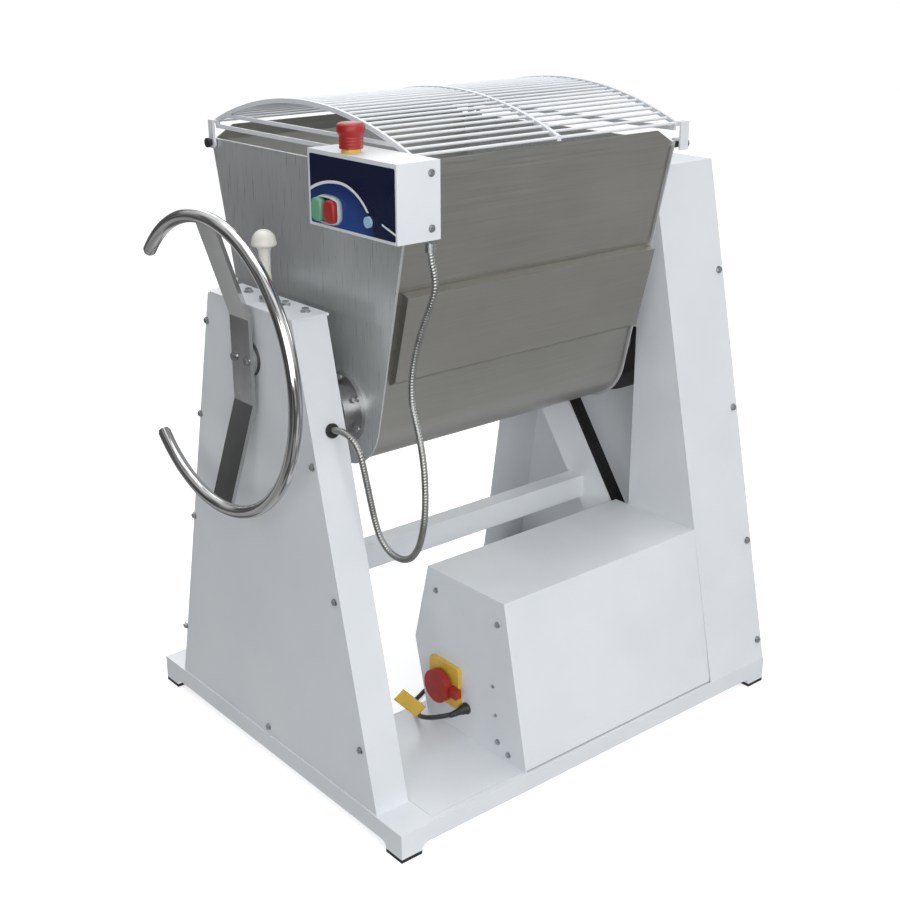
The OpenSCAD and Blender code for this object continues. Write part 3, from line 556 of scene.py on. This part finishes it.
def conduit():
    """Spiral metal hose between the control box and the left stand."""
    centre = resample(smooth([Vector(p) * MM for p in CONDUIT_ROUTE], 10), 1.25 * MM)
    last = len(centre) - 1
    mean_r, groove, pitch, sides = 5.75, 0.45, 4, 14
    verts = []
    side = Vector((0, 1, 0))
    for i, place in enumerate(centre):
        along = (centre[min(i + 1, last)] - centre[max(i - 1, 0)]).normalized()
        side = (side - along * side.dot(along)).normalized()
        up = along.cross(side)
        for k in range(sides):
            a = 2 * math.pi * k / sides
            r = (mean_r + groove * math.cos(2 * math.pi * i / pitch - a)) * MM
            verts.append(place + side * (r * math.cos(a)) + up * (r * math.sin(a)))
    faces = [tuple(range(sides - 1, -1, -1))]
    for i in range(last):
        for k in range(sides):
            n = (k + 1) % sides
            faces.append((i * sides + k, i * sides + n, (i + 1) * sides + n, (i + 1) * sides + k))
    faces.append(tuple(last * sides + k for k in range(sides)))
    hose = add_mesh("conduit_hose", verts, faces, "flex_steel", None)
    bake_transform(hose)
    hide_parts("conduit")


mains_cord()
strain_relief()
conduit()

# ---------------------------------------------------------------- finishes and edges of the CAD nodes

PLAIN_EDGES = {"mains_cord", "mains_coil", "mains_plug", "cord_tag", "cord_gland", "conduit"}
FINE_EDGES = {"lid_grid", "frame_bolts", "tub_bolts", "agitator_front", "agitator_rear", "drive_shaft"}

for name, obj in frame["nodes"].items():
    for material_slot in obj.material_slots:
        material_slot.material = OWN_FINISH.get(name) or FINISHES[SLOT_OF[name]]
    if name not in PLAIN_EDGES:
        bevel(obj, (0.4 if name in FINE_EDGES else 0.8) * MM)

# ---------------------------------------------------------------- jacket ends


def jacket_ends():
    """Closes the right end of each jacket with a sheet just inside its rim."""
    on_end, shrink, depth, thick = 0.1 * MM, 0.985, 0.3 * MM, 2 * MM
    for node in ("jacket_front", "jacket_rear"):
        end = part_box(node)[1].x
        rim = [Vector(v.co.yz) for v in frame["nodes"][node].data.vertices if end - v.co.x < on_end]
        outline = [rim[i] for i in convex_hull_2d(rim)]
        centre = sum(outline, Vector((0, 0))) / len(outline)
        outline = [centre + shrink * (point - centre) for point in outline]
        prism(node + "_end", outline, end - depth, thick, "tub_steel", "tub")


jacket_ends()

# ---------------------------------------------------------------- control panel


def control_panel():
    """Printed sheet with round corners on the end of the control box."""
    low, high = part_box("control_box")
    corner = 3 * MM
    y0, y1 = low.y + 4 * MM + corner, high.y - 6 * MM - corner
    z0, z1 = low.z + 5 * MM + corner, high.z - 7 * MM - corner
    outline = []
    for y, z, start in ((y1, z1, 0), (y0, z1, 90), (y0, z0, 180), (y1, z0, 270)):
        for k in range(7):
            a = math.radians(start + 15 * k)
            outline.append((y + corner * math.cos(a), z + corner * math.sin(a)))
    prism("panel_sheet", outline, low.x, 0.5 * MM, panel_print(), "tub")


control_panel()

# ---------------------------------------------------------------- turned plastic pieces


def foot_of(node):
    """Middle of the underside of a CAD node."""
    low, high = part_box(node)
    return Vector(((low.x + high.x) / 2, (low.y + high.y) / 2, low.z))


def plunger_knob():
    """Mushroom knob: a dome with a flat underside on a waisted shank."""
    low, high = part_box("plunger_knob")
    top = (high.z - low.z) / MM
    head = (high.x - low.x) / 2 / MM
    profile = [(6.2, 0), (11, 0), (12, 1), (12, 7), (11, 8.5), (10, 30)]
    profile += [(10.4, top - 42), (12, top - 34)]
    profile += [(14.5, top - 30.5), (head - 1.5, top - 28.5), (head, top - 27), (head, top - 23.5)]
    profile.append((head - 0.8, top - 22))
    for degrees in range(8, 90, 9):
        a = math.radians(degrees)
        profile.append(((head - 1) * math.cos(a), top - 21 + 21 * math.sin(a)))
    profile.append((0, top))
    at = foot_of("plunger_knob")
    knob = lathe("plunger_handle", profile, at, (0, 0, 1), "knob_plastic", "plunger")
    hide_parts("plunger_knob")


def estop_head():
    """Emergency stop: a flared mushroom head on a ribbed skirt."""
    low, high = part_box("estop_button")
    r = (high.x - low.x) / 2 / MM
    tall = (high.z - low.z) / MM
    profile = [(0, 0), (7, 0), (7, 9), (16.4, 9), (16.4, 7), (19, 7), (19.5, 7.6)]
    for k in range(4):
        profile += [(19.5, 10 + 5 * k), (18.9, 10.6 + 5 * k), (18.9, 11.6 + 5 * k), (19.5, 12.2 + 5 * k)]
    profile += [(20, 29), (22, 31.5), (r - 0.3, 33), (r, 34), (r, tall - 6), (r - 0.8, tall - 4)]
    profile += [(r - 3, tall - 2), (r - 7, tall - 0.8), (r - 13, tall - 0.2), (0, tall)]
    head = lathe("estop_head", profile, foot_of("estop_button"), (0, 0, 1), "red_plastic", "estop")
    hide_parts("estop_button")


def loft(name, sections, y, z, finish, body, ring=False):
    """Pillow along -X through super-ellipses given as (half width, half height, x).

    A ring has no end faces: its last section joins its first.
    """
    steps = 56
    verts = []
    for half_y, half_z, x in sections:
        for k in range(steps):
            a = 2 * math.pi * k / steps
            c, d = math.cos(a), math.sin(a)
            across = half_y * math.copysign(abs(c) ** 0.62, c)
            up = half_z * math.copysign(abs(d) ** 0.62, d)
            verts.append((x, y + across, z + up))
    count = len(sections)
    faces = []
    for i in range(count if ring else count - 1):
        j = (i + 1) % count
        for k in range(steps):
            n = (k + 1) % steps
            faces.append((i * steps + k, j * steps + k, j * steps + n, i * steps + n))
    if not ring:
        faces.append(tuple(range(steps)))
        faces.append(tuple((count - 1) * steps + k for k in range(steps - 1, -1, -1)))
    return add_mesh(name, verts, faces, finish, body)


def button_rim():
    """Pale oval rim round both buttons: sections as (inset, height) in mm, over a full height of 11."""
    low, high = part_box("button_bezel")
    wall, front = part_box("control_box")[0].x, low.x
    half_y, half_z = (high.y - low.y) / 2, (high.z - low.z) / 2
    rim = [(0.1, 0), (0.8, 8), (2.2, 10.4), (3.2, 11), (4.0, 10.4), (4.4, 9), (4.4, 0)]
    sections = [(half_y - a * MM, half_z - a * MM, wall - (wall - front) * b / 11) for a, b in rim]
    y, z = (low.y + high.y) / 2, (low.z + high.z) / 2
    ring = loft("button_rim", sections, y, z, BUTTON_RIM, "tub", ring=True)
    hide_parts("button_bezel")


def button_cap(node, body, finish):
    """Domed cap: sections as (share of the full size, height in mm), over a full height of 19."""
    low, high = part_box(node)
    half_y, half_z = (high.y - low.y) / 2, (high.z - low.z) / 2
    cap = [(0.75, 6), (0.98, 6.2), (1.0, 7), (1.0, 13), (0.985, 15.5)]
    cap += [(0.93, 17.4), (0.82, 18.4), (0.62, 18.9), (0.3, 19)]
    sections = [(half_y * k, half_z * k, low.x + (19 - h) * MM) for k, h in cap]
    y, z = (low.y + high.y) / 2, (low.z + high.z) / 2
    piece = loft(node + "_cap", sections, y, z, finish, body)
    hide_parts(node)


estop_head()
button_rim()
button_cap("start_button", "start", "green_plastic")
button_cap("stop_button", "stop", "red_plastic")
plunger_knob()

# ---------------------------------------------------------------- studio


# name, place, aim, size in metres, power in watts
LIGHTS = [
    ("front", (-1.2, -3.5, 2.0), (-0.2, 0, 0.6), 2.4, 50),
    ("side", (-3.4, -3.0, 1.6), (0.3, 0, 0.4), 2.6, 60),
    ("right", (3.8, -0.6, 2.6), (-0.4, 0, 0.5), 2.4, 40),
    ("bounce", (0, 0, -2.0), (0, 0, 0), 7.0, 110),
    ("top", (0.2, 0.4, 4.4), (0, 0, 0.5), 3.0, 48),
    ("back", (1.8, 3.6, 2.8), (0, 0, 0.6), 2.6, 35),
]
# brightness of the room, from straight down (0) to straight up (1)
ROOM_TONES = [
    (0.0, 0.36), (0.30, 0.48), (0.44, 0.38), (0.50, 0.27), (0.56, 0.32), (0.70, 0.55), (1.0, 1.0),
]


def white_surface(name, roughness, glow, scale, detail):
    """Makes the newest object a white, glowing surface that only the camera sees."""
    surface = bpy.context.object
    surface.name = name
    surface.visible_glossy = False
    surface.visible_diffuse = False
    surface.visible_shadow = False
    f = Finish(name, roughness, Emission_Color=(1, 1, 1, 1), Emission_Strength=glow)
    f.colour(f.noise(scale, detail), (0.78, 0.78, 0.78), (0.80, 0.80, 0.80))
    surface.data.materials.append(f.mat)
    return surface


def room():
    """World that polished metal shows as bright and dark bands and patches, darker on the left."""
    world = bpy.data.worlds.new("world")
    bpy.context.scene.world = world
    world.use_nodes = True
    tree = world.node_tree
    background = tree.nodes["Background"]
    coords = tree.nodes.new("ShaderNodeTexCoord")
    split = tree.nodes.new("ShaderNodeSeparateXYZ")
    tree.links.new(coords.outputs["Generated"], split.inputs["Vector"])
    height = remap(tree, split.outputs["Z"], -1.0, 1.0, 0.0, 1.0)
    tones = tree.nodes.new("ShaderNodeValToRGB")
    set_stops(tones, [(position, (tone, tone * 1.01, tone * 1.03)) for position, tone in ROOM_TONES])
    tree.links.new(height.outputs["Result"], tones.inputs["Fac"])
    patches = tree.nodes.new("ShaderNodeTexNoise")
    patches.inputs["Scale"].default_value = 2.2
    patches.inputs["Detail"].default_value = 1.0
    tree.links.new(coords.outputs["Generated"], patches.inputs["Vector"])
    swing = remap(tree, patches.outputs["Fac"], 0.42, 0.58, 0.45, 1.70)
    swing.interpolation_type = "SMOOTHSTEP"
    dim_left = remap(tree, split.outputs["X"], -1.0, 0.1, 0.22, 1.0)
    strength = tree.nodes.new("ShaderNodeMath")
    strength.operation = "MULTIPLY"
    tree.links.new(swing.outputs["Result"], strength.inputs[0])
    tree.links.new(dim_left.outputs["Result"], strength.inputs[1])
    tree.links.new(tones.outputs["Color"], background.inputs["Color"])
    tree.links.new(strength.outputs["Value"], background.inputs["Strength"])


def studio():
    """White floor and backdrop, soft lights, and a room for the metal to reflect."""
    bpy.context.scene.view_settings.view_transform = "Standard"
    bpy.ops.mesh.primitive_plane_add(size=160, location=(0, 0, 0))
    white_surface("floor", 0.8, 0.45, 0.6, 2.0)
    bpy.ops.mesh.primitive_uv_sphere_add(segments=48, ring_count=24, radius=60, location=(0, 0, 0))
    backdrop = white_surface("backdrop", 0.9, 1.0, 0.1, 1.0)
    backdrop.visible_transmission = False
    room()
    for name, place, aim, size, power in LIGHTS:
        light = bpy.data.lights.new(name, "AREA")
        light.size = size
        light.energy = power
        lamp = bpy.data.objects.new(name, light)
        lamp.location = place
        lamp.rotation_euler = (Vector(aim) - Vector(place)).to_track_quat("-Z", "Y").to_euler()
        lamp.visible_glossy = name != "bounce"
        bpy.context.collection.objects.link(lamp)


studio()
